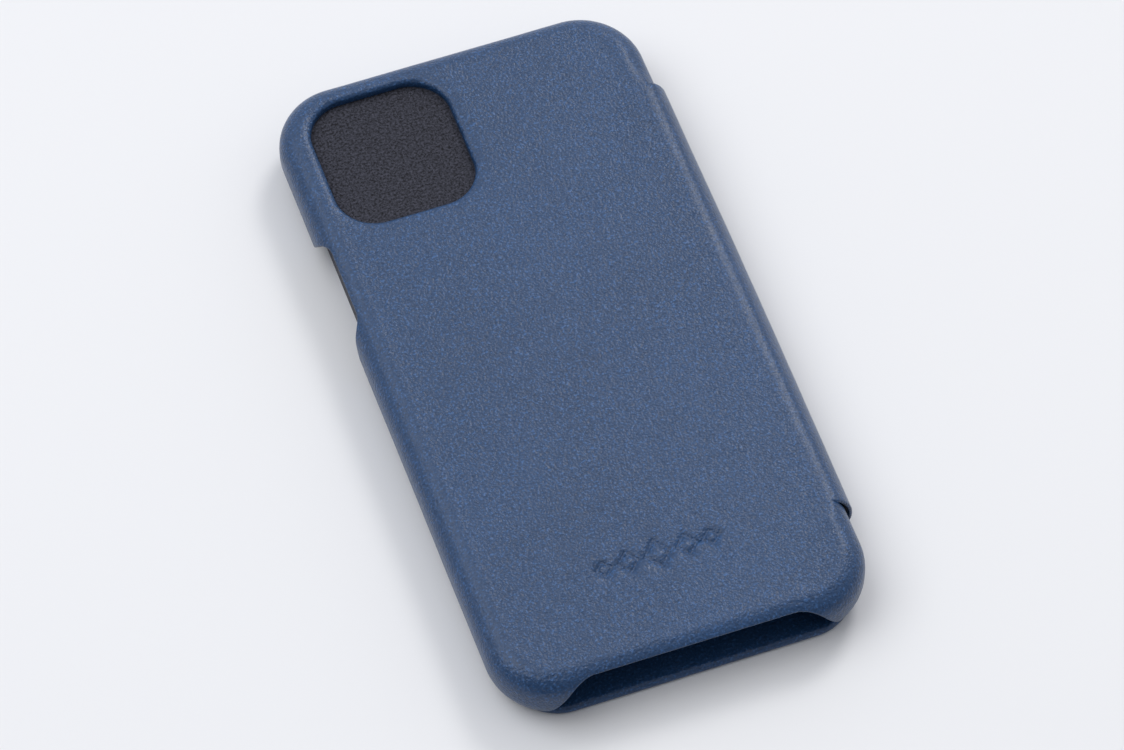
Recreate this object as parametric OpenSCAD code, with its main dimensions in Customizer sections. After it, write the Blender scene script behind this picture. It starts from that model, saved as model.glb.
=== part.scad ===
// Folio wallet case for a slab phone. It lies closed, cover down and back up.
// X runs across the case towards the spine, Y along it towards the camera opening, Z up.
// The origin is under the middle of the closed case, on the surface that it lies on.

/* [Phone] */
// Width of the phone that the case holds
phone_w = 75.7; // [70:0.1:80]
// Length of the phone
phone_l = 150.9; // [145:0.1:160]
// Thickness of the phone
phone_t = 8.3; // [7.8:0.1:9]
// Free play round the phone, on each side
play = 0.2; // [0.1:0.05:0.3]

/* [Shell] */
// Wall of the moulded tray
tray_wall = 0.9; // [0.8:0.1:1.1]
// Thickness of the outer leather
leather_t = 0.8; // [0.6:0.1:0.9]
// Radius of the four corners, seen from the back
corner_r = 13.9; // [13:0.1:15]
// Radius of the soft edge round the back
edge_r = 4.7; // [4.4:0.1:5.2]
// How far the lip stands past the screen
lip = 1.0; // [0.8:0.1:1.4]

/* [Openings] */
// Width of the camera opening
camera_w = 30.1; // [28:0.1:32]
// Height of the camera opening
camera_l = 31.8; // [30:0.1:33]
// Corner radius of the camera opening
camera_r = 8.6; // [7:0.1:10]
// Length of the port opening at the bottom end, along the lip
port_l = 63.6; // [60:0.1:64]
// Length of the side key opening, along the lip
key_l = 34; // [30:0.5:36]
// How far both of them stop short of the back
cut_stop = 1.25; // [1:0.05:1.8]
// Half the length of the spine, which ends at a slit at each end
spine_half = 54.2; // [50:0.1:58]

/* [Cover] */
// Board inside the cover
board_t = 0.8; // [0.6:0.1:1]
// Suede lining
lining_t = 0.4; // [0.3:0.05:0.5]
// Width of the leather turned in round the cover's inner face
hem = 5; // [4:0.5:7]
// Thickness of one card pocket panel
panel_t = 0.3; // [0.2:0.05:0.35]
// Width of the card pocket panels
pocket_w = 60; // [58:0.5:62]

/* [Hidden] */

navy = [0.19, 0.26, 0.38];
black_suede = [0.11, 0.11, 0.13];
black_plastic = [0.05, 0.05, 0.06];
steel = [0.7, 0.7, 0.72];
board_grey = [0.45, 0.44, 0.42];

eps = 0.01;
far = 20;

// Outer size of the leather-covered shell
skin = tray_wall + leather_t;
shell_w = phone_w + 2 * (play + skin);
shell_l = phone_l + 2 * (play + skin);

// Heights, from the surface up
cover_t = leather_t + board_t + lining_t;
lip_gap = 0.2;
lip_z = cover_t + lip_gap;
screen_z = lip_z + lip;
cavity_z = screen_z + phone_t + 0.1 + lining_t;
back_z = cavity_z + skin;

// Side wall: an arc in to the lip, a short upright part, and the soft back edge
upper_z = back_z - edge_r;
upright = 1.8;
lower_z = upper_z - upright;
lower_r = 7.5;

// Spine: a curved band between its two fold lines
spine_reach = 1.85;
spine_r = 7.85;
fold_angle = 44;
full_angle = 31;
fold_bead_r = 0.35;
slit = 0.2;
shell_x = -spine_reach / 2;
spine_x = shell_x + shell_w / 2 + spine_reach - leather_t / 2 - spine_r;
spine_z = back_z / 2;
fold_x = spine_x + spine_r * cos(fold_angle);
fold_clear = 1.8;

// Cover outline, in from the shell at the free edge and the two ends
cover_free_x = shell_x - shell_w / 2 + 3.75;
cover_fold_x = fold_x - fold_clear;
cover_w = cover_fold_x - cover_free_x;
cover_l = shell_l - 3.5;
cover_x = (cover_free_x + cover_fold_x) / 2;
cover_r = 11;

// Camera opening, and the two cut-outs in the wall, whose ends slant in from the lip
camera_x = shell_x - 18.05;
camera_y = 55.9;
key_y = 28.85;
cut_z = back_z - cut_stop;
cut_slope = 57;
cut_depth = 4.6;
port_corner_r = 7.5;
key_corner_r = 5;
flare_r = 2;

// Closure
closure_y = [-45, -5];
closure_l = 22;
magnet_w = 3;
magnet_x = cover_free_x + leather_t + 0.4 + magnet_w / 2;
keeper_w = 0.6;
keeper_h = 0.5;
keeper_x = shell_x - shell_w / 2 + 3.45;

// Card pockets: the top edge of each panel, from the rear one forward
pocket_base = -69;
pocket_tops = [26, 17, 8];
pocket_r = 4;
stitch_inset = 2;
stitch_l = 2.2;
stitch_pitch = 3.1;
stitch_r = 0.12;

// Points (inset, height) up the side wall, for a surface that lies depth below the outside.
function side_profile(depth) =
    let (
        low_r = lower_r - depth,
        up_r = edge_r - depth,
        lip_angle = asin((lower_z - lip_z) / low_r)
    )
    concat(
        [for (i = [5:-1:0])
            let (a = lip_angle * i / 5) [depth + low_r * (1 - cos(a)), lower_z - low_r * sin(a)]],
        [for (i = [0:6])
            let (a = 15 * i) [depth + up_r * (1 - cos(a)), upper_z + up_r * sin(a)]]
    );

// The shell's whole form at that depth. Its open side runs down by drop below the lip.
module shell_form(depth, drop = 0) {
    points = side_profile(depth);
    reach = corner_r - points[0][0];
    outline = concat(
        [[0, lip_z - drop], [reach, lip_z - drop]],
        [for (p = points) [corner_r - p[0], p[1]]],
        [[0, back_z - depth]]
    );
    translate([shell_x, 0, 0])
        hull()
            for (sx = [-1, 1], sy = [-1, 1])
                translate([sx * (shell_w / 2 - corner_r), sy * (shell_l / 2 - corner_r), 0])
                    rotate_extrude($fn = 40) polygon(outline);
}

module rounded_rect(w, l, r) {
    square([w - 2 * r, l], center = true);
    square([w, l - 2 * r], center = true);
    for (sx = [-1, 1], sy = [-1, 1])
        translate([sx * (w / 2 - r), sy * (l / 2 - r)]) circle(r = r, $fn = 64);
}

module plate(w, l, r, z, t) {
    translate([0, 0, z]) linear_extrude(t) rounded_rect(w, l, r);
}

function direction(angle) = [cos(angle), sin(angle)];

// One end of a wall cut-out, as points (along the wall, height) from the lip to the top edge:
// a flare at the lip, a slanted side, and a round corner.
function cut_end(half, r) =
    let (
        flare = [half + flare_r * tan(cut_slope / 2), lip_z + flare_r],
        corner = [half - (cut_z - r - lip_z) / tan(cut_slope) - r / sin(cut_slope), cut_z - r]
    )
    concat(
        [[flare[0], lip_z - 1]],
        [for (i = [0:6]) flare + flare_r * direction(-90 - cut_slope * i / 6)],
        [for (i = [0:8]) corner + r * direction(90 - cut_slope + cut_slope * i / 8)]
    );

module cut_outline(half, r) {
    end = cut_end(half, r);
    polygon(concat(end, [for (i = [len(end) - 1:-1:0]) [-end[i][0], end[i][1]]]));
}

module key_cut() {
    translate([shell_x - shell_w / 2 - 1, key_y, 0])
        rotate([90, 0, 90]) linear_extrude(1 + cut_depth) cut_outline(key_l / 2, key_corner_r);
}

module port_cut() {
    translate([shell_x, -shell_l / 2 + cut_depth, 0])
        rotate([90, 0, 0]) linear_extrude(1 + cut_depth) cut_outline(port_l / 2, port_corner_r);
}

// The side towards the spine is open between the two slits.
module spine_cut(from_x) {
    translate([from_x, -spine_half - slit, lip_z - 1])
        cube([far, 2 * (spine_half + slit), back_z]);
}

module camera_cut(grow) {
    translate([camera_x, camera_y, 0])
        plate(camera_w + 2 * grow, camera_l + 2 * grow, camera_r + grow, cavity_z - 3, far);
}

module back_leather() {
    color(navy) {
        difference() {
            shell_form(0);
            shell_form(leather_t, 1);
            camera_cut(leather_t);
            key_cut();
            port_cut();
            spine_cut(cover_fold_x);
        }
        // Leather turned down round the camera opening
        translate([camera_x, camera_y, 0])
            difference() {
                plate(camera_w + 2 * leather_t, camera_l + 2 * leather_t, camera_r + leather_t,
                    cavity_z, skin);
                plate(camera_w, camera_l, camera_r, cavity_z - 1, far);
            }
    }
}

module keepers(extra) {
    for (y = closure_y)
        translate([keeper_x, y, lip_z + (keeper_h - extra) / 2])
            cube([keeper_w, closure_l, keeper_h + extra], center = true);
}

module tray() {
    color(black_plastic)
        difference() {
            shell_form(leather_t);
            shell_form(skin, 1);
            camera_cut(leather_t);
            key_cut();
            port_cut();
            spine_cut(cover_fold_x);
            keepers(eps);
        }
}

module tray_lining() {
    inset = edge_r + 0.2;
    color(black_suede)
        difference() {
            translate([shell_x, 0, 0])
                plate(shell_w - 2 * inset, shell_l - 2 * inset, corner_r - inset,
                    cavity_z - lining_t, lining_t);
            camera_cut(leather_t);
        }
}

module keeper_strips() {
    color(steel) keepers(0);
}

// A ring sector of the spine's cross-section, between radii and angles.
module spine_sector(inner, outer, half_angle) {
    reach = 2 * outer;
    intersection() {
        difference() {
            circle(r = outer, $fn = 120);
            circle(r = inner, $fn = 120);
        }
        polygon([[0, 0], reach * [cos(half_angle), -sin(half_angle)], [reach, 0],
            reach * [cos(half_angle), sin(half_angle)]]);
    }
}

module along_spine() {
    translate([spine_x, spine_half, spine_z])
        rotate([90, 0, 0])
            linear_extrude(2 * spine_half) children();
}

module spine_leather() {
    thin = 0.15;
    half_t = leather_t / 2;
    color(navy) {
        along_spine() {
            spine_sector(spine_r - half_t, spine_r + half_t, full_angle);
            spine_sector(spine_r - thin, spine_r + thin, fold_angle);
        }
        // Rolled fold lines, on the two hinge axes
        for (s = [-1, 1])
            translate([fold_x, spine_half, spine_z + s * spine_r * sin(fold_angle)])
                rotate([90, 0, 0]) cylinder(r = fold_bead_r, h = 2 * spine_half, $fn = 32);
    }
}

module spine_lining() {
    outer = spine_r - leather_t / 2;
    color(black_suede) along_spine() spine_sector(outer - lining_t, outer, full_angle - 1);
}

module cover_plate(inset, z, t) {
    translate([cover_x, 0, 0])
        plate(cover_w - 2 * inset, cover_l - 2 * inset, cover_r - inset, z, t);
}

module cover_leather() {
    color(navy)
        difference() {
            cover_plate(0, 0, cover_t);
            cover_plate(leather_t, leather_t, board_t);
            cover_plate(leather_t + hem, leather_t, cover_t);
        }
}

module magnets(t) {
    for (y = closure_y)
        translate([magnet_x, y, leather_t + board_t / 2])
            cube([magnet_w, closure_l, t], center = true);
}

module cover_board() {
    color(board_grey)
        difference() {
            cover_plate(leather_t, leather_t, board_t);
            magnets(board_t + 1);
        }
}

module cover_lining() {
    color(black_suede) cover_plate(leather_t + hem, leather_t + board_t, lining_t);
}

module cover_magnets() {
    color(steel) magnets(board_t);
}

function panel_z(n) = cover_t + n * panel_t;

// A card pocket panel, number n from the rear. Its two top corners are square.
module pocket_panel(n) {
    height = pocket_tops[n] - pocket_base;
    color(navy)
        translate([cover_x, pocket_base, panel_z(n)])
            linear_extrude(panel_t) {
                translate([-pocket_w / 2, pocket_r]) square([pocket_w, height - pocket_r]);
                translate([-pocket_w / 2 + pocket_r, 0]) square([pocket_w - 2 * pocket_r, pocket_r]);
                for (s = [-1, 1])
                    translate([s * (pocket_w / 2 - pocket_r), pocket_r]) circle(r = pocket_r, $fn = 48);
            }
}

// The height of the pockets' top face at y
function pocket_face(y) =
    y < pocket_tops[2] ? panel_z(3) : y < pocket_tops[1] ? panel_z(2) : panel_z(1);

module stitch(x, y, z, turn) {
    translate([x, y, z + stitch_r])
        rotate([0, 0, turn]) rotate([90, 0, 0])
            cylinder(r = stitch_r, h = stitch_l, center = true, $fn = 16);
}

module pocket_stitching() {
    side_x = pocket_w / 2 - stitch_inset;
    base_y = pocket_base + stitch_inset;
    first_y = pocket_base + pocket_r + 1.5;
    rows = floor((pocket_tops[0] - 1.5 - first_y) / stitch_pitch);
    columns = floor((pocket_w - 2 * pocket_r - 2) / stitch_pitch);
    color("lightsteelblue")
        translate([cover_x, 0, 0]) {
            for (i = [0:rows], s = [-1, 1])
                let (y = first_y + i * stitch_pitch)
                    if (min([for (top = pocket_tops) abs(y - top)]) > stitch_l / 2 + 0.1)
                        stitch(s * side_x, y, pocket_face(y), 0);
            for (i = [0:columns])
                stitch((i - columns / 2) * stitch_pitch, base_y, panel_z(3), 90);
        }
}

back_leather();
tray();
tray_lining();
keeper_strips();
spine_leather();
spine_lining();
cover_leather();
cover_board();
cover_lining();
cover_magnets();
pocket_panel(0);  // pocket_panel_upper
pocket_panel(1);  // pocket_panel_middle
pocket_panel(2);  // pocket_panel_lower
pocket_stitching();
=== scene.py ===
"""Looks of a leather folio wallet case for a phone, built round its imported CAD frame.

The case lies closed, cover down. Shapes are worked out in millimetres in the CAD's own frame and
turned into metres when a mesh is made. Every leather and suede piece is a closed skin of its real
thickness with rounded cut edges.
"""

import math

import bmesh
import bpy
import numpy as np
from mathutils import Matrix, Vector, noise
from mathutils.geometry import delaunay_2d_cdt


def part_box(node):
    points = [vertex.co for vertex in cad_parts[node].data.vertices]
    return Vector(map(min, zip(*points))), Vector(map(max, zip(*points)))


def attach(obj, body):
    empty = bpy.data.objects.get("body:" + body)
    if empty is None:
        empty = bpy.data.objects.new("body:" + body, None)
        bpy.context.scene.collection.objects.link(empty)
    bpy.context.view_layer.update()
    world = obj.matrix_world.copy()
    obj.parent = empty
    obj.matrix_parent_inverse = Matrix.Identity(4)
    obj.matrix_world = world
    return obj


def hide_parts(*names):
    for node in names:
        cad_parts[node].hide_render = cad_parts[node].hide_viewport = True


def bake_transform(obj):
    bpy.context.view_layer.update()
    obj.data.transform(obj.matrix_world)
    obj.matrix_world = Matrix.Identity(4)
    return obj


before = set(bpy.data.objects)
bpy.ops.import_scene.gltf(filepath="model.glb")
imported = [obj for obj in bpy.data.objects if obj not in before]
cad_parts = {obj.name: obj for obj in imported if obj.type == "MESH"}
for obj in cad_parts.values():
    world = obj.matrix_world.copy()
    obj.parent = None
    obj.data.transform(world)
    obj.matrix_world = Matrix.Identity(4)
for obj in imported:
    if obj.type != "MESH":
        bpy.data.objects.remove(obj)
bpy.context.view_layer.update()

MM = 0.001


# ---------------------------------------------------------------- sizes, in millimetres


def box_mm(node):
    """The lowest and highest corner of a CAD node."""
    low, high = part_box(node)
    return np.array(low) / MM, np.array(high) / MM


back_low, back_high = box_mm("back_leather")
cover_low, cover_high = box_mm("cover_leather")
panel_low, panel_high = box_mm("pocket_panel_upper")

# Shell
shell_x = (back_low[0] + back_high[0]) / 2
shell_hw = (back_high[0] - back_low[0]) / 2
shell_hl = back_high[1]
lip_z, back_z = back_low[2], back_high[2]
corner_r = 13.9
edge_r = 4.7
upper_z = back_z - edge_r
lower_z = upper_z - 1.8
lower_r = 7.5
leather_t = 0.8
tray_wall = 0.9
cavity_z = back_z - leather_t - tray_wall

# Openings
camera_x, camera_y = shell_x - 18.05, 55.9
camera_hw, camera_hl, camera_r = 15.05, 15.9, 8.6
rim_z = cavity_z - 0.45
cut_z = back_z - 1.25
cut_slope = 57
cut_depth = 4.6
port_flare, key_flare = 2, 5
port_half, port_r = 31.8, 7.5
key_y, key_half, key_r = 28.85, 17, 5

# Spine
spine_half = 54.2
spine_x, spine_z = 32.425, back_z / 2
spine_r = 8.25
lining_t = 0.35
seam_x = 33.6
slit_x = 36.3
slit_gap = 1.35
seam_fade = slit_x - 0.2, slit_x + 0.5
bulge = 0.3

# Cover
cover_x = (cover_low[0] + cover_high[0]) / 2
cover_hw, cover_hl = (cover_high[0] - cover_low[0]) / 2, cover_high[1]
cover_t = cover_high[2]
cover_r = 11
cover_start = 4.0
cover_seam = spine_half + 0.15
hem = 5.8


# ---------------------------------------------------------------- small mathematics


def ease(v, low=0.0, high=1.0):
    """0 below low, 1 above high, and smooth between them."""
    t = np.clip((np.asarray(v, float) - low) / (high - low), 0, 1)
    return t * t * (3 - 2 * t)


def box_distance(x, y, half_w, half_l, r):
    """Signed distance to a rounded rectangle about the origin, negative inside it."""
    qx, qy = np.abs(x) - (half_w - r), np.abs(y) - (half_l - r)
    outside = np.hypot(np.maximum(qx, 0), np.maximum(qy, 0))
    return outside + np.minimum(np.maximum(qx, qy), 0) - r


def soften(points, spread, step=0.05):
    """A plane polyline resampled every step and smoothed over spread, with its two ends kept."""
    points = np.array(points, float)
    lengths = np.r_[0, np.cumsum(np.hypot(*np.diff(points, axis=0).T))]
    at = np.linspace(0, lengths[-1], int(lengths[-1] / step) + 1)
    fine = np.column_stack([np.interp(at, lengths, points[:, k]) for k in (0, 1)])
    reach = int(3 * spread / step)
    kernel = np.exp(-0.5 * (np.arange(-reach, reach + 1) * step / spread) ** 2)
    kernel /= kernel.sum()
    head = 2 * fine[0] - fine[reach:0:-1]
    tail = 2 * fine[-1] - fine[-2:-reach - 2:-1]
    padded = np.vstack([head, fine, tail])
    return np.column_stack([np.convolve(padded[:, k], kernel, "valid") for k in (0, 1)])


def offset(profile, depth):
    """A profile that runs outwards and then down, moved inwards by depth."""
    tangent = np.gradient(profile, axis=0)
    tangent /= np.hypot(*tangent.T)[:, None]
    return profile + depth * np.column_stack([-tangent[:, 1], tangent[:, 0]])


def at_length(profile, share):
    """Points of a profile at shares from 0 to 1 of its length."""
    lengths = np.r_[0, np.cumsum(np.hypot(*np.diff(profile, axis=0).T))]
    at = np.asarray(share) * lengths[-1]
    return np.stack([np.interp(at, lengths, profile[:, k]) for k in (0, 1)], axis=-1)


def arc(cx, cz, r, start, end, count=24):
    """Points on an arc, with angles in degrees."""
    return [(cx + r * math.cos(a), cz + r * math.sin(a)) for a in np.radians(np.linspace(start, end, count))]


def outline(half_w, half_l, r, step, first=0.0, last=0.0):
    """Rows (x, y, normal x, normal y) counter-clockwise round a rounded rectangle, from the height
    first on its +X side to the height last on the same side. It is closed where the two are equal."""
    rows = []

    def straight(p, q, normal):
        count = max(1, round(math.dist(p, q) / step))
        rows.extend((p[0] + (q[0] - p[0]) * i / count, p[1] + (q[1] - p[1]) * i / count, *normal)
                    for i in range(count))

    def corner(cx, cy, start):
        count = max(3, round(r * math.pi / 2 / step))
        for i in range(count):
            a = math.radians(start + 90 * i / count)
            rows.append((cx + r * math.cos(a), cy + r * math.sin(a), math.cos(a), math.sin(a)))

    w, l = half_w - r, half_l - r
    straight((half_w, first), (half_w, l), (1, 0))
    corner(w, l, 0)
    straight((w, half_l), (-w, half_l), (0, 1))
    corner(-w, l, 90)
    straight((-half_w, l), (-half_w, -l), (-1, 0))
    corner(-w, -l, 180)
    straight((-w, -half_l), (w, -half_l), (0, -1))
    corner(w, -l, 270)
    straight((half_w, -l), (half_w, last), (1, 0))
    if first != last:
        rows.append((half_w, last, 1, 0))
    return np.array(rows)


# ---------------------------------------------------------------- mesh building


class Skin:
    """Vertices and faces of one open surface, gathered from grids and fills, in millimetres."""

    def __init__(self):
        self.points, self.faces = [], []

    def grid(self, points, closed=False):
        """Adds a grid of shape (columns, rows, 3)."""
        columns, rows = points.shape[:2]
        base = len(self.points)
        self.points.extend(map(tuple, points.reshape(-1, 3)))
        for c in range(columns if closed else columns - 1):
            n = (c + 1) % columns
            for r in range(rows - 1):
                self.faces.append((base + c * rows + r, base + n * rows + r,
                                   base + n * rows + r + 1, base + c * rows + r + 1))

    def fill(self, loops, loose, inside, height):
        """Adds a triangulated field z = height(x, y) between closed loops, through the loose points."""
        flat, edges = [], []
        for loop in loops:
            base = len(flat)
            flat.extend(map(tuple, loop))
            edges.extend((base + i, base + (i + 1) % len(loop)) for i in range(len(loop)))
        flat.extend(map(tuple, loose))
        made, _, triangles, *_ = delaunay_2d_cdt([Vector(p) for p in flat], edges, [], 0, 1e-7)
        xy = np.array([tuple(v) for v in made])
        triangles = np.array(triangles)
        middle = xy[triangles].mean(axis=1)
        triangles = triangles[inside(middle[:, 0], middle[:, 1])]
        base = len(self.points)
        self.points.extend(zip(xy[:, 0], xy[:, 1], height(xy[:, 0], xy[:, 1])))
        self.faces.extend(map(tuple, triangles + base))

    def merged(self, up):
        """(vertices, faces) with shared borders joined and all faces turned one way, so that the
        mean normal has a positive part along up. A closed surface has no up: it is turned outwards."""
        mesh = bmesh.new()
        vertices = [mesh.verts.new(p) for p in self.points]
        for face in self.faces:
            if len(set(face)) > 2:
                mesh.faces.new([vertices[i] for i in face])
        bmesh.ops.remove_doubles(mesh, verts=mesh.verts, dist=0.004)
        bmesh.ops.delete(mesh, geom=[v for v in mesh.verts if not v.link_faces], context="VERTS")
        bmesh.ops.recalc_face_normals(mesh, faces=mesh.faces)
        total = sum((f.normal * f.calc_area() for f in mesh.faces), Vector())
        if up and total.dot(Vector(up)) < 0:
            bmesh.ops.reverse_faces(mesh, faces=mesh.faces)
        mesh.verts.index_update()
        result = np.array([v.co[:] for v in mesh.verts]), [tuple(v.index for v in f.verts) for f in mesh.faces]
        mesh.free()
        return result


def vertex_normals(points, faces):
    normals = np.zeros_like(points)
    for size in (3, 4):
        group = np.array([f for f in faces if len(f) == size], int)
        if len(group):
            corner = points[group]
            cross = np.cross(corner[:, 2] - corner[:, 0], corner[:, -1] - corner[:, 1])
            for k in range(size):
                np.add.at(normals, group[:, k], cross)
    return normals / np.maximum(np.linalg.norm(normals, axis=1), 1e-12)[:, None]


def solid(points, faces, thickness, roundness=lambda p: np.ones(len(p)), steps=5):
    """A closed skin: the surface, a copy thickness below it, and a rounded edge between them.
    The roundness of the edge at a point is 1 for a half round and 0 for a square cut."""
    normals = vertex_normals(points, faces)
    count = len(points)
    directed = {(f[i], f[(i + 1) % len(f)]) for f in faces for i in range(len(f))}
    border = [(a, b) for a, b in directed if (b, a) not in directed]
    border.sort()
    outward = np.zeros_like(points)
    for a, b in border:
        out = np.cross(points[b] - points[a], normals[a] + normals[b])
        out /= max(np.linalg.norm(out), 1e-12)
        outward[a] += out
        outward[b] += out
    rim = sorted({i for edge in border for i in edge})
    number = {v: k for k, v in enumerate(rim)}
    out = outward[rim] / np.maximum(np.linalg.norm(outward[rim], axis=1), 1e-12)[:, None]
    half = thickness / 2
    reach = (half * 0.85 * roundness(points[rim]))[:, None]
    middle = points[rim] - half * normals[rim]
    layers = [points, points - thickness * normals]
    for k in range(1, steps + 1):
        a = math.pi * k / (steps + 1)
        layers.append(middle + half * math.cos(a) * normals[rim] + reach * math.sin(a) * out)

    def index(v, layer):
        if layer == 0:
            return v
        return count + v if layer == steps + 1 else 2 * count + (layer - 1) * len(rim) + number[v]

    made = list(faces) + [tuple(count + i for i in reversed(f)) for f in faces]
    for a, b in border:
        for layer in range(steps + 1):
            made.append((index(b, layer), index(a, layer), index(a, layer + 1), index(b, layer + 1)))
    return np.vstack(layers), made


def piece(name, points, faces, material, slot, sharp=55):
    """A mesh object from points in millimetres."""
    mesh = bpy.data.meshes.new(name)
    mesh.from_pydata((np.asarray(points) * MM).tolist(), [], [tuple(int(i) for i in f) for f in faces])
    mesh.validate()
    mesh.polygons.foreach_set("use_smooth", [True] * len(mesh.polygons))
    mesh.set_sharp_from_angle(angle=math.radians(sharp))
    mesh.materials.append(material)
    obj = bpy.data.objects.new(name, mesh)
    bpy.context.scene.collection.objects.link(obj)
    return obj


# ---------------------------------------------------------------- procedural materials


class Graph:
    """A short way to write a node material."""

    def __init__(self, name):
        self.material = bpy.data.materials.new(name)
        self.material.use_nodes = True
        self.tree = self.material.node_tree
        self.shader = self.tree.nodes["Principled BSDF"]
        self.coord = self.tree.nodes.new("ShaderNodeTexCoord").outputs["Object"]

    def node(self, kind, inputs=None, **settings):
        made = self.tree.nodes.new("ShaderNode" + kind)
        for key, value in settings.items():
            setattr(made, key, value)
        for key, value in (inputs or {}).items():
            if isinstance(value, bpy.types.NodeSocket):
                self.tree.links.new(value, made.inputs[key])
            else:
                made.inputs[key].default_value = value
        return made

    def noise(self, scale, detail=2.0, rough=0.5, where=None, distortion=0.0):
        return self.node("TexNoise", {"Vector": where or self.coord, "Scale": scale, "Detail": detail,
                                      "Roughness": rough, "Distortion": distortion}).outputs["Fac"]

    def cells(self, scale, where, smooth):
        inputs = {"Vector": where, "Scale": scale, "Smoothness": smooth}
        return self.node("TexVoronoi", inputs, feature="SMOOTH_F1").outputs["Distance"]

    def maths(self, operation, a, b=0.0, c=0.0):
        return self.node("Math", {0: a, 1: b, 2: c}, operation=operation).outputs[0]

    def remap(self, value, low, high, to_low, to_high):
        return self.node("MapRange", {"Value": value, "From Min": low, "From Max": high,
                                      "To Min": to_low, "To Max": to_high}).outputs["Result"]

    def mix(self, share, a, b):
        made = self.node("Mix", {"Factor": share}, data_type="RGBA")
        for socket, value in ((made.inputs[6], a), (made.inputs[7], b)):
            if isinstance(value, bpy.types.NodeSocket):
                self.tree.links.new(value, socket)
            else:
                socket.default_value = (*value, 1)
        return made.outputs[2]

    def shifted(self, amount, scale):
        """The coordinates pushed about by a noise, so that cells lose their regular look."""
        push = self.node("TexNoise", {"Vector": self.coord, "Scale": scale, "Detail": 2.0}).outputs["Color"]
        centred = self.node("VectorMath", {0: push, 1: (0.5, 0.5, 0.5)}, operation="SUBTRACT").outputs[0]
        scaled = self.node("VectorMath", {0: centred, "Scale": amount}, operation="SCALE").outputs[0]
        return self.node("VectorMath", {0: self.coord, 1: scaled}, operation="ADD").outputs[0]

    def bump(self, height, strength, distance):
        inputs = {"Height": height, "Strength": strength, "Distance": distance}
        return self.node("Bump", inputs).outputs["Normal"]

    def finish(self, colour, roughness, normal, **constants):
        for key, value in (("Base Color", colour), ("Roughness", roughness), ("Normal", normal)):
            if isinstance(value, bpy.types.NodeSocket):
                self.tree.links.new(value, self.shader.inputs[key])
            elif value is not None:
                self.shader.inputs[key].default_value = (*value, 1) if key == "Base Color" else value
        for key, value in constants.items():
            self.shader.inputs[key.replace("_", " ")].default_value = value
        return self.material


def leather_material(name, base, grain=1950.0, depth=1.0):
    """Fine nappa: small soft pebbles under a satin top coat, with a painted highlight on the pebbles' tops and
    painted shade in the hollows between them.
    """
    g = Graph(name)
    where = g.shifted(0.0005, 1100.0)
    pebble = g.cells(grain, where, 0.3)
    fine = g.noise(grain, 2.0, 0.55, where)
    broad = g.noise(420.0, 3.0, 0.6)
    height = g.maths("ADD", g.maths("MULTIPLY", pebble, -0.7), g.maths("MULTIPLY", fine, 1.1))
    height = g.maths("ADD", height, g.maths("MULTIPLY", broad, 0.45))
    normal = g.bump(height, depth, 0.00014)
    cloud = g.noise(45.0, 3.0, 0.55)
    low, high = [tuple(c * k for c in base) for k in (0.92, 1.08)]
    colour = g.mix(g.remap(cloud, 0.3, 0.7, 0.0, 1.0), low, high)
    # Painted shade: the hollows between the pebbles are darkened in the colour
    crease_painted_shade = g.remap(fine, 0.46, 0.32, 0.0, 0.55)
    colour = g.mix(crease_painted_shade, colour, tuple(c * 0.42 for c in base))
    # Painted highlight: the tops of the pebbles are lightened in the colour, standing in for glints
    peak_painted_highlight = g.remap(fine, 0.56, 0.68, 0.0, 0.75)
    colour = g.mix(peak_painted_highlight, colour, tuple(c * 2.3 + 0.010 for c in base))
    roughness = g.remap(g.maths("ADD", fine, g.maths("MULTIPLY", broad, 0.5)), 0.5, 1.0, 0.28, 0.4)
    return g.finish(colour, roughness, normal, Specular_IOR_Level=0.42, Coat_Weight=0.12, Coat_Roughness=0.25)


def suede_material(name, base, light, grain=2600.0):
    """Microfibre suede: short matted fibres, whose specks of caught light are painted into the colour as painted
    highlights.
    """
    g = Graph(name)
    where = g.shifted(0.0006, 900.0)
    fibre = g.noise(grain, 4.0, 0.7, where)
    clump = g.noise(grain / 3, 3.0, 0.6, where)
    height = g.maths("ADD", fibre, g.maths("MULTIPLY", clump, 0.8))
    normal = g.bump(height, 0.9, 0.00025)
    # Painted highlight: specks where the fibres catch the light are the lighter tone mixed into the colour
    colour = g.mix(g.remap(fibre, 0.38, 0.66, 0.0, 1.0), base, light)
    return g.finish(colour, 0.95, normal, Specular_IOR_Level=0.2, Sheen_Weight=0.12, Sheen_Roughness=0.5)


def plastic_material(name, base):
    g = Graph(name)
    spark = g.noise(1800.0, 2.0, 0.5)
    normal = g.bump(spark, 0.25, 0.00006)
    colour = g.mix(g.noise(50.0), tuple(c * 0.85 for c in base), tuple(c * 1.15 for c in base))
    return g.finish(colour, g.remap(spark, 0.3, 0.7, 0.42, 0.55), normal, Specular_IOR_Level=0.5)


def board_material(name, base):
    g = Graph(name)
    pulp = g.noise(700.0, 5.0, 0.7)
    colour = g.mix(pulp, tuple(c * 0.7 for c in base), tuple(c * 1.2 for c in base))
    return g.finish(colour, 0.9, g.bump(pulp, 0.4, 0.0001))


def metal_material(name, base, along):
    """Drawn metal with fine lines along one axis."""
    g = Graph(name)
    scale = [4000.0] * 3
    scale[along] = 60.0
    where = g.node("Mapping", {"Vector": g.coord, "Scale": tuple(scale)}).outputs["Vector"]
    lines = g.noise(1.0, 3.0, 0.6, where)
    colour = g.mix(lines, tuple(c * 0.85 for c in base), base)
    return g.finish(colour, g.remap(lines, 0.3, 0.7, 0.22, 0.42), g.bump(lines, 0.15, 0.00003), Metallic=1.0)


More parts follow.
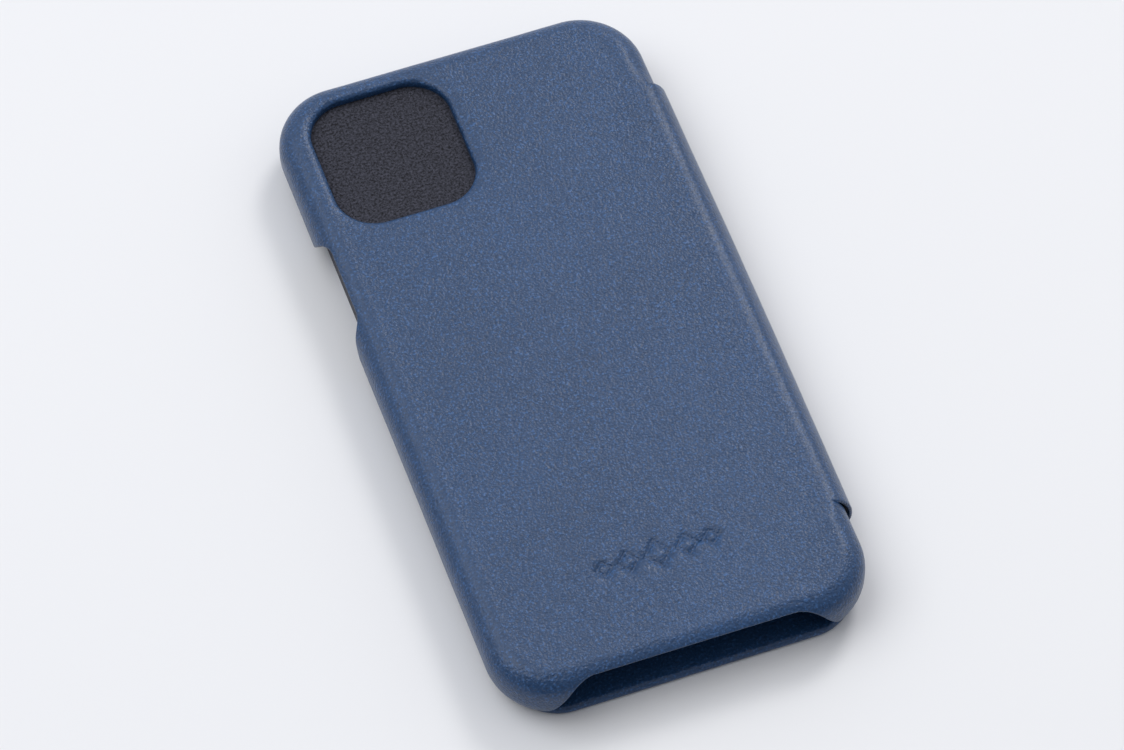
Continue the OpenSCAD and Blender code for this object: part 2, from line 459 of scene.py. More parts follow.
def thread_material(name, base):
    g = Graph(name)
    twist = g.node("TexWave", {"Vector": g.coord, "Scale": 1500.0, "Distortion": 1.0},
                   bands_direction="DIAGONAL").outputs["Fac"]
    colour = g.mix(twist, tuple(c * 0.6 for c in base), tuple(c * 1.25 for c in base))
    return g.finish(colour, 0.55, g.bump(twist, 0.5, 0.00004), Sheen_Weight=0.3)


navy = leather_material("navy_nappa", (0.012, 0.047, 0.126))
skived = leather_material("skived_nappa", (0.012, 0.046, 0.120), 2600.0, 0.8)
suede = suede_material("black_suede", (0.008, 0.008, 0.010), (0.040, 0.040, 0.050))
foam = suede_material("flocked_foam", (0.008, 0.008, 0.011), (0.066, 0.068, 0.092), 2000.0)
plastic = plastic_material("tray_plastic", (0.02, 0.02, 0.023))
board = board_material("fibreboard", (0.32, 0.3, 0.27))
nickel = metal_material("nickel_plate", (0.62, 0.62, 0.63), 1)
steel = metal_material("rolled_steel", (0.6, 0.6, 0.61), 1)
thread = thread_material("bonded_thread", (0.12, 0.16, 0.26))


# ---------------------------------------------------------------- the shell's surface

# Side profile as (inset, height), from the flat back out over the soft edge and in to the lip
lip_angle = math.degrees(math.asin((lower_z - lip_z) / lower_r))
wall_profile = soften(
    [(9, back_z)] + arc(edge_r, upper_z, -edge_r, -90, 0)
    + arc(lower_r, lower_z, -lower_r, 0, lip_angle),
    0.55)

# Outside of the spine as (x, height), from the flat back down to half its height
spine_profile = soften(
    [(seam_x - 4, back_z), (slit_x - 0.6, back_z)] + arc(spine_x, spine_z, spine_r, 52, 0),
    0.5)
camera_profile = soften([(6, back_z), (2.4, back_z), (0.7, back_z - 0.16), (0.08, back_z - 0.6),
                         (0, back_z - 1.0), (0, rim_z)], 0.2)
fill_inset = 3.6
rim_reach = 1.5


def profile_drop(profile):
    """A function of the distance along a profile's first axis that says how far it lies below the back."""
    top = int(np.argmax(profile[:, 0] <= profile[:, 0].min() + 1e-3))
    xs, drops = profile[:top + 1, 0][::-1], (back_z - profile[:top + 1, 1])[::-1]
    return lambda v: np.interp(v, xs, drops)


edge_drop = profile_drop(wall_profile)


def roll(inset):
    """Height of the low roll that the drawn leather makes round the edge of the back."""
    return 0.12 * np.exp(-((inset - 4.6) / 1.3) ** 2)


def shoulder_drop(inset):
    return edge_drop(inset) - roll(inset)


rim_drop = profile_drop(camera_profile)


def inset_at(x, y):
    return -box_distance(x - shell_x, y, shell_hw, shell_hl, corner_r)


def rim_distance(x, y):
    return box_distance(x - camera_x, y - camera_y, camera_hw, camera_hl, camera_r)


def spine_lift(x, y, inset):
    """How far the skin stands above the soft edge where it runs on to the spine."""
    kept = np.minimum(x, slit_x)
    lift = np.interp(kept, spine_profile[:, 0], spine_profile[:, 1]) - (
        back_z - shoulder_drop(shell_x + shell_hw - kept))
    lift = lift * (1 - ease(x, slit_x, slit_x + 1.9))
    near = 1 - ease(np.abs(y), spine_half, spine_half + 5.5)
    return np.where((x > seam_x - 3) & (np.abs(y) < shell_hl - corner_r), lift * near, 0)


# Generic ornament pressed into the back: a row of lozenge outlines
ornament_x, ornament_y = shell_x, -54.0
lozenges = [(-11.3, 2.0, 2.0), (-6.2, 2.5, 2.8), (0, 3.1, 3.8), (6.2, 2.5, 2.8), (11.3, 2.0, 2.0)]


def ornament_depth(x, y):
    depth = np.zeros_like(x)
    for middle, half_w, half_l in lozenges:
        u, v = np.abs(x - ornament_x - middle), np.abs(y - ornament_y)
        distance = (u / half_w + v / half_l - 0.84) * half_w * half_l / math.hypot(half_w, half_l)
        depth = np.maximum(depth, 1 - ease(np.abs(distance), 0.18, 0.46))
    return 0.34 * depth


def back_height(x, y):
    """Height of the back's skin over a point of its nearly flat part."""
    inset = inset_at(x, y)
    return (back_z - shoulder_drop(inset) + spine_lift(x, y, inset)
            - rim_drop(rim_distance(x, y)) - ornament_depth(x, y))


def cut_curve(half, r, flare_r):
    """The lower edge of the wall as a function of the distance from the middle of a cut-out."""
    slope = math.radians(cut_slope)
    flare = (half + flare_r * math.tan(slope / 2), lip_z + flare_r)
    middle = (half - (cut_z - r - lip_z) / math.tan(slope) - r / math.sin(slope), cut_z - r)
    points = arc(*middle, r, 90, 90 - cut_slope, 16) + arc(*flare, flare_r, -90 - cut_slope, -90, 10)
    along, heights = np.array(points).T
    return lambda v: np.interp(np.abs(v), along, heights, right=lip_z)


port_edge = cut_curve(port_half, port_r, port_flare)
key_edge = cut_curve(key_half, key_r, key_flare)


def cut_height(x, y):
    """Height of the wall's lower edge at a point of the wall."""
    height = np.full_like(x, lip_z)
    at_port = y < -shell_hl + cut_depth
    at_key = x < shell_x - shell_hw + cut_depth
    height = np.where(at_port, np.maximum(height, port_edge(x - shell_x)), height)
    return np.where(at_key & (np.abs(y - key_y) < 25), np.maximum(height, key_edge(y - key_y)), height)


def shell_wall(depth, start_inset, rows, trim, lip_trim, step=0.55):
    """The wall as a grid (columns, rows, 3) from start_inset out and down to the lip or cut-out,
    where it stops short of the edge by trim in a cut-out and by lip_trim at the lip."""
    profile = offset(wall_profile, depth)
    first = int(np.argmax(profile[:, 0] <= start_inset))
    profile[first, 0] = start_inset
    profile = profile[first:]
    ring = outline(shell_hw, shell_hl, corner_r, step, spine_half, -spine_half)
    share = np.linspace(0, 1, 600)
    dense = at_length(profile, share)
    profile_length = np.hypot(*np.diff(profile, axis=0).T).sum()

    def place(dense_points, column_share):
        """Places of profile points on their columns, with the slit's opening taken off."""
        inset, z = dense_points[..., 0], dense_points[..., 1]
        p, n = ring[:, None, :2], ring[:, None, 2:]
        x = shell_x + p[..., 0] - n[..., 0] * inset
        y = p[..., 1] - n[..., 1] * inset
        gap = slit_gap * ease(column_share, gap_from, 0.62) + (0.12 if depth == 0 else 0.4) * ease(
            column_share, gap_from, gap_from + 0.08)
        away = np.abs(p[..., 1]) - spine_half
        fade = np.where(p[..., 0] > 0, np.clip(1 - away / 7, 0, 1) ** 2, 0)
        return x, y + np.sign(y) * gap * fade, z

    slit_inset = shell_x + shell_hw - slit_x
    gap_from = share[int(np.argmax(dense[:, 0] <= slit_inset))]
    x, y, z = place(np.broadcast_to(dense, (len(ring), *dense.shape)), share[None, :])
    under = z - cut_height(x, y) <= 0
    under[:, -1] = True
    end = share[np.argmax(under, axis=1)]
    end = np.minimum(end - (trim + (lip_trim - trim) * ease(end, 0.85, 1)) / profile_length, 1)
    table = end[:, None] * np.linspace(0, 1, rows + 1)[None, :]
    points = at_length(profile, table)
    x, y, z = place(points, table)
    if depth == 0:
        upper = z > upper_z
        z = np.where(upper, z + roll(points[..., 0]) + spine_lift(x, y, points[..., 0])
                     - rim_drop(rim_distance(x, y)), z)
    return np.stack([x, y, z], axis=-1)


def hexagons(low, high, spacing):
    """Points of a triangular grid over a box."""
    ys = np.arange(low[1], high[1], spacing * math.sqrt(3) / 2)
    rows = []
    for i, y in enumerate(ys):
        xs = np.arange(low[0] + (i % 2) * spacing / 2, high[0], spacing)
        rows.append(np.column_stack([xs, np.full(len(xs), y)]))
    return np.vstack(rows)


def sparse(points, taken, spacing):
    """Those points that keep their distance from the taken ones and from each other."""
    cells = {}

    def near(p):
        cx, cy = int(p[0] // spacing), int(p[1] // spacing)
        return any(math.dist(p, q) < spacing for i in (-1, 0, 1) for j in (-1, 0, 1)
                   for q in cells.get((cx + i, cy + j), ()))

    def add(p):
        cells.setdefault((int(p[0] // spacing), int(p[1] // spacing)), []).append(p)

    for p in taken:
        add(tuple(p))
    kept = []
    for p in map(tuple, points):
        if not near(p):
            add(p)
            kept.append(p)
    return kept


def camera_ring(distance, step=0.6):
    rows = outline(camera_hw, camera_hl, camera_r, step)
    return np.column_stack([camera_x + rows[:, 0] + rows[:, 2] * distance,
                            camera_y + rows[:, 1] + rows[:, 3] * distance])


seam_ys = np.linspace(-spine_half, spine_half, 150)


def slit_run(sign):
    """Points along a slit's closed part, from the wall's first column in to the seam."""
    xs = np.linspace(shell_x + shell_hw - fill_inset, seam_x, 6)[1:-1]
    return np.column_stack([xs, np.full(len(xs), sign * spine_half)])


def undulate(points, normals, amount):
    """Moves skin points a little along their normals, in broad soft waves."""
    waves = np.array([noise.noise(Vector(p) / 17.0) + 0.5 * noise.noise(Vector(p) / 7.0 + Vector((9, 4, 2)))
                      for p in points])
    return points + normals * (amount * waves)[:, None]


def crease_field(points):
    """Depth of the fine wrinkles that fan out from the two ends of the port opening."""
    depth = np.zeros(len(points))
    for side in (-1, 1):
        cx, cy = shell_x + side * 27.0, -shell_hl + 0.5
        dx, dy = (points[:, 0] - cx) * side, points[:, 1] - cy
        away, angle = np.hypot(dx, dy), np.arctan2(dy, dx)
        fade = ease(away, 1.0, 3.0) * (1 - ease(away, 6.0, 13.0)) * ease(points[:, 2], 9.5, 11.5)
        ridges = np.array([noise.noise(Vector((a * 5.5, r * 0.16, side * 3.0))) for a, r in zip(angle, away)])
        depth += fade * (1 - np.abs(ridges) * 4).clip(0, 1)
    return depth


# ---------------------------------------------------------------- back skin

top = Skin()
wall = shell_wall(0.0, fill_inset, 44, 0.55, 0.3)
wall[:, 0, 2] = back_height(wall[:, 0, 0], wall[:, 0, 1])
top.grid(wall)

camera_rows = camera_profile[int(np.argmax(camera_profile[:, 0] <= rim_reach)):]
camera_rows = at_length(camera_rows, np.linspace(0, 0.93, 16))
camera_rows[0, 0] = rim_reach
camera_outline = outline(camera_hw, camera_hl, camera_r, 0.6)
rim_xy = np.stack([camera_x + camera_outline[:, None, 0] + camera_outline[:, None, 2] * camera_rows[None, :, 0],
                   camera_y + camera_outline[:, None, 1] + camera_outline[:, None, 3] * camera_rows[None, :, 0]],
                  axis=-1)
rim_z_values = camera_rows[None, :, 1] - shoulder_drop(inset_at(rim_xy[..., 0], rim_xy[..., 1]))
rim = np.concatenate([rim_xy, rim_z_values[..., None]], axis=-1)
rim[:, 0, 2] = back_height(rim[:, 0, 0], rim[:, 0, 1])
top.grid(rim, closed=True)

seam_line = np.column_stack([np.full(len(seam_ys), seam_x), seam_ys])
outer_loop = np.vstack([wall[:, 0, :2], slit_run(-1), seam_line, slit_run(1)[::-1]])
inner_loop = rim[:, 0, :2]
taken = np.vstack([outer_loop, inner_loop])
rows = outline(shell_hw, shell_hl, corner_r, 0.75)
structured = np.vstack([np.column_stack([shell_x + rows[:, 0] - rows[:, 2] * inset, rows[:, 1] - rows[:, 3] * inset])
                        for inset in (4.05, 4.55, 5.1, 5.7, 6.4)])
rings = np.vstack([camera_ring(d) for d in (1.95, 2.5, 3.2, 4.0)])
ornament_box = np.array([[ornament_x - 14.2, ornament_y - 4.6], [ornament_x + 14.2, ornament_y + 4.6]])
pressed = hexagons(ornament_box[0], ornament_box[1], 0.24)
pressed = pressed[ornament_depth(pressed[:, 0], pressed[:, 1]) > 0.0005]
coarse = hexagons((shell_x - shell_hw, -shell_hl), (shell_x + shell_hw, shell_hl), 1.4)


def on_back(x, y):
    """True where the nearly flat part of the back's skin is."""
    side = (x < seam_x) | (np.abs(y) > spine_half)
    return (inset_at(x, y) > fill_inset) & side & (rim_distance(x, y) > rim_reach)


def clear(points, by):
    x, y = points[:, 0], points[:, 1]
    side = (x < seam_x - by) | (np.abs(y) > spine_half + by)
    return points[(inset_at(x, y) > fill_inset + by) & side & (rim_distance(x, y) > rim_reach + by)]


loose = sparse(pressed, taken, 0.2)
loose += sparse(clear(rings, 0.3), np.vstack([taken, loose]), 0.33)
loose += sparse(clear(structured, 0.3), np.vstack([taken, loose]), 0.33)
loose += sparse(clear(coarse, 0.5), np.vstack([taken, loose]), 0.8)
top.fill([outer_loop, inner_loop], loose, on_back, back_height)
back_points, back_faces = top.merged((0, 0, 1))
normals = vertex_normals(back_points, back_faces)
back_points = undulate(back_points, normals, 0.05) - normals * (0.07 * crease_field(back_points))[:, None]


def at_seam(points):
    """0 where the back's skin meets the spine's, rising to 1 away from there."""
    x, y = points[:, 0], np.abs(points[:, 1])
    meets = (x > seam_x - 0.1) & (y < spine_half + 0.35)
    return np.where(meets, ease(x, *seam_fade), 1.0)


back_skin = piece("back_skin", *solid(back_points, back_faces, leather_t, at_seam), navy, "leather")
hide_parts("back_leather")
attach(back_skin, "shell")


# ---------------------------------------------------------------- spine skins


def barrel(y, z):
    """How far the spine stands out more at mid-length than at its ends."""
    across = np.clip((z - spine_z) / 6.0, -1, 1)
    return bulge * np.cos(np.pi * y / (2 * spine_half)) * np.cos(across * np.pi / 2) ** 2


def sweep(profile, ys, rows, mirrored=False):
    """A grid that carries a profile (x, z) along the spine."""
    points = at_length(profile, np.linspace(0, 1, rows + 1))
    x, z = np.broadcast_to(points[:, 0], (len(ys), rows + 1)), np.broadcast_to(points[:, 1], (len(ys), rows + 1))
    y = np.broadcast_to(np.array(ys)[:, None], x.shape)
    x = x + barrel(y, z)
    if mirrored:
        z = back_z - z
    return np.stack([x, y, z], axis=-1)


def spine_skin(name, profile, mirrored, thickness, material, slot, ys, square, up, rows):
    surface = Skin()
    surface.grid(sweep(profile, ys, rows, mirrored))
    points, faces = surface.merged(up)
    if slot == "leather":
        points = undulate(points, vertex_normals(points, faces), 0.05)
    return piece(name, *solid(points, faces, thickness, square), material, slot)


first = int(np.argmax(spine_profile[:, 0] >= seam_x))
spine_profile[first, 0] = seam_x
upper_profile = spine_profile[first:]


def free_ends(points):
    """0 on the two seams of a spine skin, 1 on its free ends."""
    x, y = points[:, 0], np.abs(points[:, 1])
    return np.where(y > spine_half - 0.05, ease(x, *seam_fade), 0.0)


spine_upper = spine_skin("spine_skin_upper", upper_profile, False, leather_t, navy, "leather",
                         seam_ys, free_ends, (1, 0, 1), 34)
spine_lower = spine_skin("spine_skin_lower", upper_profile, True, leather_t, navy, "leather",
                         seam_ys, free_ends, (1, 0, -1), 34)
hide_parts("spine_leather")
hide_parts("spine_leather")

lining_r = spine_r - leather_t - lining_t
lining_ys = np.linspace(-spine_half + 0.5, spine_half - 0.5, 90)
upper_lining_profile = soften([(seam_x, cavity_z - 0.4), (slit_x - 0.8, cavity_z - 0.4)]
                              + arc(spine_x, spine_z, lining_r, 40, 0), 0.35)
lower_lining_profile = soften([(cover_high[0] - hem, back_z - cover_t), (slit_x - 0.8, back_z - cover_t)]
                              + arc(spine_x, spine_z, lining_r, 40, 0), 0.35)


def lining_ends(points):
    return np.where(np.abs(points[:, 1]) > spine_half - 0.6, 1.0, 0.0)


suede_upper = spine_skin("spine_suede_upper", upper_lining_profile, False, lining_t, suede, "suede",
                         lining_ys, lining_ends, (-1, 0, -1), 26)
suede_lower = spine_skin("spine_suede_lower", lower_lining_profile, True, lining_t, suede, "suede",
                         lining_ys, lining_ends, (-1, 0, 1), 30)
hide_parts("spine_lining")
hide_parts("spine_lining")
for obj in (spine_upper, suede_upper):
    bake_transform(obj)
for obj in (spine_lower, suede_lower):
    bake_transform(obj)


# ---------------------------------------------------------------- cover skin

cover_edge = soften([(9, 0), (0.95, 0)] + arc(0.95, 0.95, -0.95, 90, 0, 8)
                    + arc(0.95, cover_t - 0.95, -0.95, 0, -90, 8) + [(hem, cover_t)], 0.16)
cover_edge = cover_edge[int(np.argmax(cover_edge[:, 0] <= cover_start)):]
cover_edge[0, 0] = cover_start
cover_ring = outline(cover_hw, cover_hl, cover_r, 0.7, cover_seam, -cover_seam)


def cover_grid(profile, ring, rows):
    points = at_length(profile, np.linspace(0, 1, rows + 1))
    x = cover_x + ring[:, None, 0] - ring[:, None, 2] * points[None, :, 0]
    y = ring[:, None, 1] - ring[:, None, 3] * points[None, :, 0]
    z = np.broadcast_to(points[None, :, 1], x.shape)
    return np.stack([x, y, z], axis=-1)


def cover_inset(x, y):
    return -box_distance(x - cover_x, y, cover_hw, cover_hl, cover_r)


under = Skin()
cover_wall = cover_grid(cover_edge, cover_ring, 40)
under.grid(cover_wall)
cover_slit_x = cover_x + cover_hw - cover_start
cover_corner = [np.column_stack([np.linspace(cover_slit_x, seam_x, 4)[1:-1], np.full(2, -cover_seam)]),
                np.column_stack([np.full(len(seam_ys), seam_x), seam_ys]),
                np.column_stack([np.linspace(seam_x, cover_slit_x, 4)[1:-1], np.full(2, cover_seam)])]
cover_loop = np.vstack([cover_wall[:, 0, :2], *cover_corner])


def on_cover(x, y):
    """True on the cover's flat skin, which reaches the seam beside the spine and the wall elsewhere."""
    beside_spine = (x > cover_x) & (np.abs(y) < cover_seam)
    return np.where(beside_spine, x < seam_x, cover_inset(x, y) > cover_start)


cover_fill = hexagons((cover_low[0], cover_low[1]), (cover_high[0], cover_high[1]), 3.0)
cover_fill = cover_fill[on_cover(*cover_fill.T) & (cover_inset(*cover_fill.T) > 5.0)
                        & ((cover_fill[:, 0] < seam_x - 1.0) | (np.abs(cover_fill[:, 1]) > spine_half + 1.0))]
under.fill([cover_loop], cover_fill, on_cover, lambda x, y: 0 * x)
cover_points, cover_faces = under.merged((0, 0, -1))


def cover_square(points):
    x, y, z = points[:, 0], np.abs(points[:, 1]), points[:, 2]
    meets = (np.abs(x - seam_x) < 0.05) & (z < 0.5) & (y < spine_half + 0.2)
    return np.where(meets, 0.0, 1.0)


cover_skin = piece("cover_skin", *solid(cover_points, cover_faces, leather_t * 0.95, cover_square), navy, "leather")
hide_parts("cover_leather")
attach(cover_skin, "cover")


# ---------------------------------------------------------------- linings, tray, pockets


def plate(name, half_w, half_l, r, middle, height, thickness, material, slot, up=1, spacing=2.5, hole=None,
          roundness=1.0):
    """A flat sheet with a rounded outline, whose shown face lies at height and looks along up."""
    ring = outline(half_w - 0.1, half_l - 0.1, r, 0.9)
    loop = ring[:, :2] + np.array(middle)
    loops = [loop]

    def inside(x, y):
        found = box_distance(x - middle[0], y - middle[1], half_w - 0.1, half_l - 0.1, r) < 0
        return found & (hole[1](x, y) if hole else True)

    if hole:
        loops.append(hole[0])
    grid = hexagons(np.array(middle) - (half_w, half_l), np.array(middle) + (half_w, half_l), spacing)
    grid = grid[inside(*grid.T)]
    grid = sparse(grid, np.vstack(loops), 0.9)
    sheet = Skin()
    sheet.fill(loops, grid, inside, height)
    points, faces = sheet.merged((0, 0, up))
    return piece(name, *solid(points, faces, thickness, lambda p: np.full(len(p), roundness)), material, slot)


lining_hw, lining_hl = cover_hw - hem, cover_hl - hem
cover_suede = plate("cover_suede", lining_hw, lining_hl, cover_r - hem, (cover_x, 0),
                    lambda x, y: np.full_like(x, cover_t), 0.4, suede, "suede", 1, 2.0, None, 0.5)
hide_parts("cover_lining")
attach(cover_suede, "cover")

floor_inset = edge_r + 0.2
lens_rim = leather_t + 0.1
lens_hole = (camera_ring(lens_rim), lambda x, y: rim_distance(x, y) > lens_rim)
tray_suede = plate("tray_suede", shell_hw - floor_inset, shell_hl - floor_inset, corner_r - floor_inset,
                   (shell_x, 0), lambda x, y: np.full_like(x, cavity_z - 0.4), 0.38, suede, "suede", -1, 2.5,
                   lens_hole, 0.5)
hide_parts("tray_lining")
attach(tray_suede, "shell")

# The moulded tray lies under the skin, with the same openings
tray_start = 4.3
tray_depth = leather_t + 0.02
tray_rim = leather_t + 0.15
tray = Skin()
tray_wall_grid = shell_wall(tray_depth, tray_start, 30, -0.1, 0.1, 0.9)
tray_z = back_z - leather_t - 0.02
tray_wall_grid[:, 0, 2] = tray_z
tray.grid(tray_wall_grid)
tray_hole = camera_ring(tray_rim)
ledge_y = np.linspace(-spine_half, spine_half, 62)
tray_side = np.column_stack([np.full(60, tray_wall_grid[-1, 0, 0]), ledge_y[1:-1]])
tray_loop = np.vstack([tray_wall_grid[:, 0, :2], tray_side])
tray_fill = hexagons((shell_x - shell_hw, -shell_hl), (shell_x + shell_hw, shell_hl), 3.0)


def on_tray(x, y):
    return (inset_at(x, y) > tray_start) & (rim_distance(x, y) > tray_rim)


tray_fill = tray_fill[on_tray(*tray_fill.T)]
tray.fill([tray_loop, tray_hole], sparse(tray_fill, np.vstack([tray_loop, tray_hole]), 1.2), on_tray,
          lambda x, y: np.full_like(x, tray_z))
# Along the spine the tray's floor runs on to the fold
ledge_x = np.linspace(shell_x + shell_hw - tray_start, slit_x - 0.5, 6)
ledge_z = np.minimum(tray_z, back_z - leather_t - shoulder_drop(shell_x + shell_hw - ledge_x) * 0.4)
ledge = np.stack(np.broadcast_arrays(ledge_x[None, :], ledge_y[:, None], ledge_z[None, :]), axis=-1)
ledge[:, 0, 2] = tray_z
tray.grid(ledge)
tray_points, tray_faces = tray.merged((0, 0, 1))
tray_shell = piece("tray_shell", *solid(tray_points, tray_faces, tray_wall - 0.04,
                                        lambda p: np.full(len(p), 0.4)), plastic, "tray_plastic")
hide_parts("tray")
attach(tray_shell, "shell")

# The packing block that lies in the phone's place. It is drawn only and stands for no CAD node,
# because the phone's place stays open. It stops short of the port opening.
dummy_gap, dummy_port_gap = 1.0, 8.0
play, lip, phone_t = 0.2, 1.0, 8.3
place_hw, place_hl = [half - leather_t - tray_wall - play for half in (shell_hw, shell_hl)]
dummy_low = np.array([shell_x - place_hw + dummy_gap, -place_hl + dummy_port_gap, lip_z + lip])
dummy_high = np.array([shell_x + place_hw - dummy_gap, place_hl - dummy_gap, lip_z + lip + phone_t])
dummy_y = (dummy_low[1] + dummy_high[1]) / 2
dummy_hw, dummy_hl, _ = (dummy_high - dummy_low) / 2
dummy_r = corner_r - shell_hw + dummy_hw
dummy_face, dummy_edge = 3.0, 0.45
dummy_profile = soften([(dummy_face, dummy_high[2]), (dummy_edge, dummy_high[2]), (0.03, dummy_high[2] - dummy_edge),
                        (0, dummy_high[2] - 1), (0, dummy_low[2] + 1), (0.03, dummy_low[2] + dummy_edge),
                        (dummy_edge, dummy_low[2]), (dummy_face, dummy_low[2])], 0.18)
dummy_rows = at_length(dummy_profile, np.linspace(0, 1, 41))
dummy_ring = outline(dummy_hw, dummy_hl, dummy_r, 0.9)
dummy_xy = (dummy_ring[:, None, :2] - dummy_ring[:, None, 2:] * dummy_rows[None, :, :1]) + (shell_x, dummy_y)
dummy_z = np.broadcast_to(dummy_rows[None, :, 1:], (*dummy_xy.shape[:2], 1))
dummy_grid = np.concatenate([dummy_xy, dummy_z], axis=-1)
dummy = Skin()
dummy.grid(dummy_grid, closed=True)


def on_dummy(x, y):
    return box_distance(x - shell_x, y - dummy_y, dummy_hw, dummy_hl, dummy_r) < -dummy_face


dummy_fill = hexagons((dummy_low[0], dummy_low[1]), (dummy_high[0], dummy_high[1]), 3.0)
dummy_fill = dummy_fill[on_dummy(*dummy_fill.T)]
for end, level in ((0, dummy_high[2]), (-1, dummy_low[2])):
    face_ring = dummy_grid[:, end, :2]
    dummy.fill([face_ring], sparse(dummy_fill, face_ring, 1.2), on_dummy,
               lambda x, y, level=level: np.full_like(x, level))
foam_block = piece("foam_block", *dummy.merged(None), foam, "suede")
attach(foam_block, "shell")

pocket_w = panel_high[0] - panel_low[0]
pocket_base = panel_low[1]
pocket_r = 4.0
pressed_line = 1.4
for name in ("upper", "middle", "lower"):
    low, high = box_mm("pocket_panel_" + name)
    half_w, height = pocket_w / 2, high[1] - low[1]

    def surface(x, y, high=high, low=low):
        """A panel's face, with a pressed line along its top edge."""
        line = 0.07 * np.exp(-((high[1] - pressed_line - y) / 0.22) ** 2)
        return high[2] - 0.01 - line + 0 * x

    # The two top corners are square, and the outline is rounded only at the base
    side = np.arange(high[1] - 0.9, low[1] + pocket_r, -0.9)
    top_run = np.arange(half_w - 0.6, -half_w + 0.3, -0.6)
    loop = [(half_w, high[1])] + [(x, high[1]) for x in top_run] + [(-half_w, high[1])]
    loop += [(-half_w, y) for y in side]
    loop += [(-half_w + pocket_r + pocket_r * math.cos(a), low[1] + pocket_r + pocket_r * math.sin(a))
             for a in np.radians(np.linspace(180, 270, 9))]
    loop += [(x, low[1]) for x in np.arange(-half_w + pocket_r + 0.9, half_w - pocket_r, 0.9)]
    loop += [(half_w - pocket_r + pocket_r * math.cos(a), low[1] + pocket_r + pocket_r * math.sin(a))
             for a in np.radians(np.linspace(270, 360, 9))]
    loop += [(half_w, y) for y in side[::-1]]
    loop = np.array(loop) + (cover_x, 0)
    loop[:, 0] = cover_x + (loop[:, 0] - cover_x) * (1 - 0.1 / half_w)

    def on_panel(x, y, low=low, high=high, half_w=half_w):
        base = box_distance(x - cover_x, y - low[1] - 50, half_w - 0.1, 50, pocket_r) < 0
        return np.where(y > low[1] + 10, np.abs(x - cover_x) < half_w - 0.1, base) & (y < high[1])

    xs = np.arange(-half_w + 0.7, half_w - 0.5, 0.7) + cover_x
    crease = [np.column_stack([xs, np.full(len(xs), high[1] - pressed_line + d)])
              for d in (-0.5, -0.25, 0, 0.25, 0.5)]
    grid = hexagons((cover_x - half_w, low[1]), (cover_x + half_w, high[1]), 2.5)
    grid = grid[on_panel(*grid.T)]
    inner = sparse(np.vstack(crease), loop, 0.2)
    inner += sparse(grid, np.vstack([loop, inner]), 0.9)
    sheet = Skin()
    sheet.fill([loop], inner, on_panel, surface)
    points, faces = sheet.merged((0, 0, 1))
    panel = piece("pocket_" + name, *solid(points, faces, high[2] - low[2] - 0.02), skived, "pocket_leather")
    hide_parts("pocket_panel_" + name)
    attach(panel, "cover")


def stitches():
    """Every stitch as a thread that rises out of its hole and dips into the next."""
    points, faces = [], []
    inset, length, pitch, radius = 2.0, 2.2, 3.1, 0.13
    tops = [box_mm("pocket_panel_" + n)[1] for n in ("upper", "middle", "lower")]

    def level(y):
        return max(t[2] for t in tops if y < t[1])

    def add(x, y, z, dx, dy):
        base, rings, sides = len(points), 9, 8
        for i in range(rings):
            t = i / (rings - 1)
            along = (t - 0.5) * length
            rise = math.sin(math.pi * t) ** 0.5 * radius * 1.25 - radius * 0.5
            thick = radius * (0.75 + 0.25 * math.sin(math.pi * t))
            for k in range(sides):
                a = 2 * math.pi * k / sides
                across, lift = thick * 1.25 * math.cos(a), rise * 0.5 + thick * 0.6 * math.sin(a)
                points.append((x + dx * along - dy * across, y + dy * along + dx * across, z + lift))
        for i in range(rings - 1):
            for k in range(sides):
                n = (k + 1) % sides
                faces.append((base + i * sides + k, base + i * sides + n,
                              base + (i + 1) * sides + n, base + (i + 1) * sides + k))
        faces.append(tuple(base + k for k in range(sides)))
        faces.append(tuple(base + (rings - 1) * sides + k for k in reversed(range(sides))))

    side_x, first_y = pocket_w / 2 - inset, pocket_base + pocket_r + 1.5
    rows = int((tops[0][1] - 1.5 - first_y) // pitch)
    for i in range(rows + 1):
        y = first_y + i * pitch
        if min(abs(y - t[1]) for t in tops) > length / 2 + 0.1:
            for s in (-1, 1):
                add(cover_x + s * side_x, y, level(y), 0, 1)
    columns = int((pocket_w - 2 * pocket_r - 2) // pitch)
    for i in range(columns + 1):
        add(cover_x + (i - columns / 2) * pitch, pocket_base + inset, tops[2][2], 1, 0)
    return points, faces


pocket_thread = piece("pocket_thread", *stitches(), thread, "thread")
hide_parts("pocket_stitching")
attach(pocket_thread, "cover")

for node, material in (("keeper_strips", steel), ("cover_board", board), ("cover_magnets", nickel)):
    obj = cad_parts[node]
    obj.data.materials.clear()
    obj.data.materials.append(material)


# ---------------------------------------------------------------- floor, light, camera

floor_graph = Graph("pale_floor")
floor_tone = floor_graph.mix(floor_graph.noise(3.0, 2.0), (0.80, 0.80, 0.815), (0.83, 0.83, 0.84))
floor_material = floor_graph.finish(floor_tone, 0.6, floor_graph.bump(floor_graph.noise(400.0), 0.05, 0.0001),
                                    Specular_IOR_Level=0.2)
floor_mesh = bpy.data.meshes.new("floor")
reach = 4.0
floor_mesh.from_pydata([(-reach, -reach, 0), (reach, -reach, 0), (reach, reach, 0), (-reach, reach, 0)], [],
                       [(0, 1, 2, 3)])
floor_mesh.materials.append(floor_material)
floor = bpy.data.objects.new("floor", floor_mesh)
floor.location.z = -0.00005
bpy.context.scene.collection.objects.link(floor)


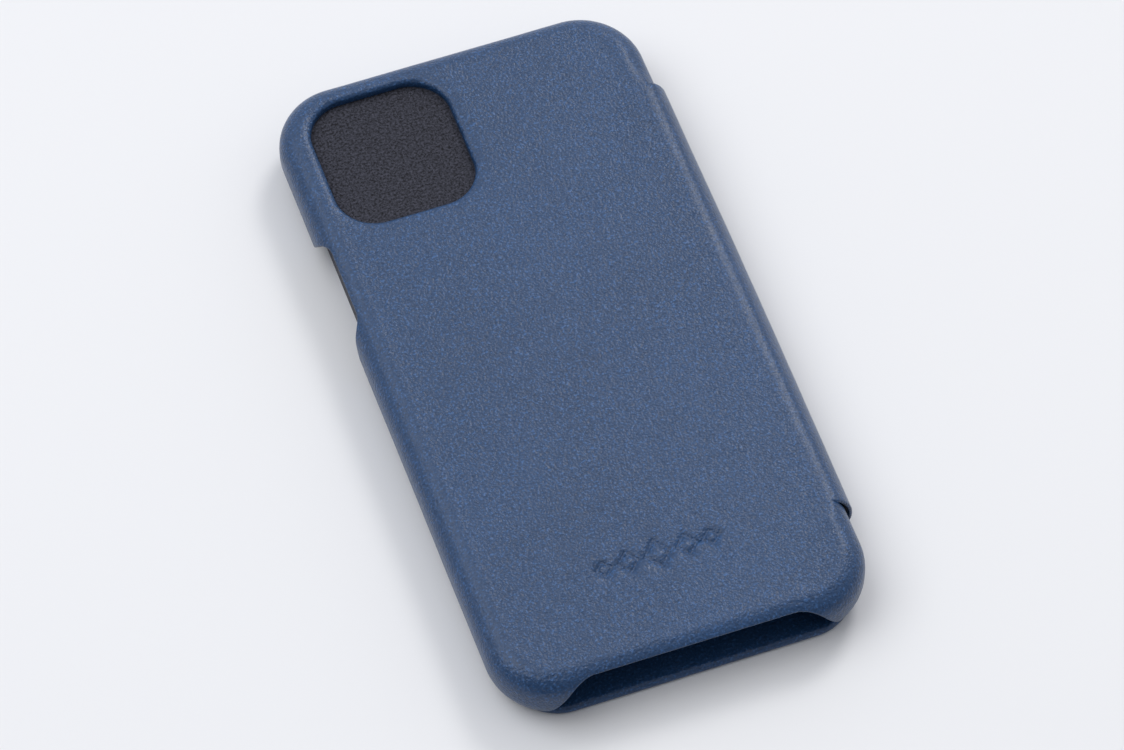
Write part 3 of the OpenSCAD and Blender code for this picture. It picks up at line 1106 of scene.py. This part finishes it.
def softbox(name, direction, distance, size, power, colour):
    """A square area light that looks at the case from a direction."""
    light = bpy.data.lights.new(name, "AREA")
    light.shape, light.size, light.energy, light.color = "SQUARE", size, power, colour
    obj = bpy.data.objects.new(name, light)
    way = Vector(direction).normalized()
    obj.location = way * distance
    obj.rotation_mode = "QUATERNION"
    obj.rotation_quaternion = way.to_track_quat("Z", "Y")
    bpy.context.scene.collection.objects.link(obj)


softbox("key_softbox", (0.48, 0.48, 0.70), 1.6, 0.45, 7, (1.0, 0.985, 0.965))
softbox("top_softbox", (-0.5, 0.2, 0.9), 1.9, 1.6, 16, (0.96, 0.98, 1.0))

# The room is bright behind and above the case and darker in front of it
world = bpy.data.worlds.new("studio")
world.use_nodes = True
links, nodes = world.node_tree.links, world.node_tree.nodes
direction = nodes.new("ShaderNodeTexCoord").outputs["Generated"]
facing = nodes.new("ShaderNodeVectorMath")
facing.operation = "DOT_PRODUCT"
facing.inputs[1].default_value = (0.35, 0.75, 0.56)
links.new(direction, facing.inputs[0])
ramp = nodes.new("ShaderNodeMapRange")
for key, value in (("From Min", -0.8), ("From Max", 0.8), ("To Min", 0.08), ("To Max", 0.82)):
    ramp.inputs[key].default_value = value
links.new(facing.outputs["Value"], ramp.inputs["Value"])
background = nodes["Background"]
background.inputs["Color"].default_value = (0.93, 0.95, 1.0, 1)
links.new(ramp.outputs["Result"], background.inputs["Strength"])
bpy.context.scene.world = world
bpy.context.scene.view_settings.view_transform = "Standard"

camera_data = bpy.data.cameras.new("camera")
camera_data.lens, camera_data.sensor_width = 210.5, 36
camera_data.clip_start, camera_data.clip_end = 0.05, 20
camera = bpy.data.objects.new("camera", camera_data)
right, down, forward = [(0.9416, -0.33673, 0.00085), (-0.28199, -0.78991, -0.54454), (0.18403, 0.5125, -0.83874)]
turn = Matrix([(right[i], -down[i], -forward[i]) for i in range(3)])
camera.matrix_world = Matrix.Translation((-0.24936, -0.68937, 1.1289)) @ turn.to_4x4()
bpy.context.scene.collection.objects.link(camera)
bpy.context.scene.camera = camera
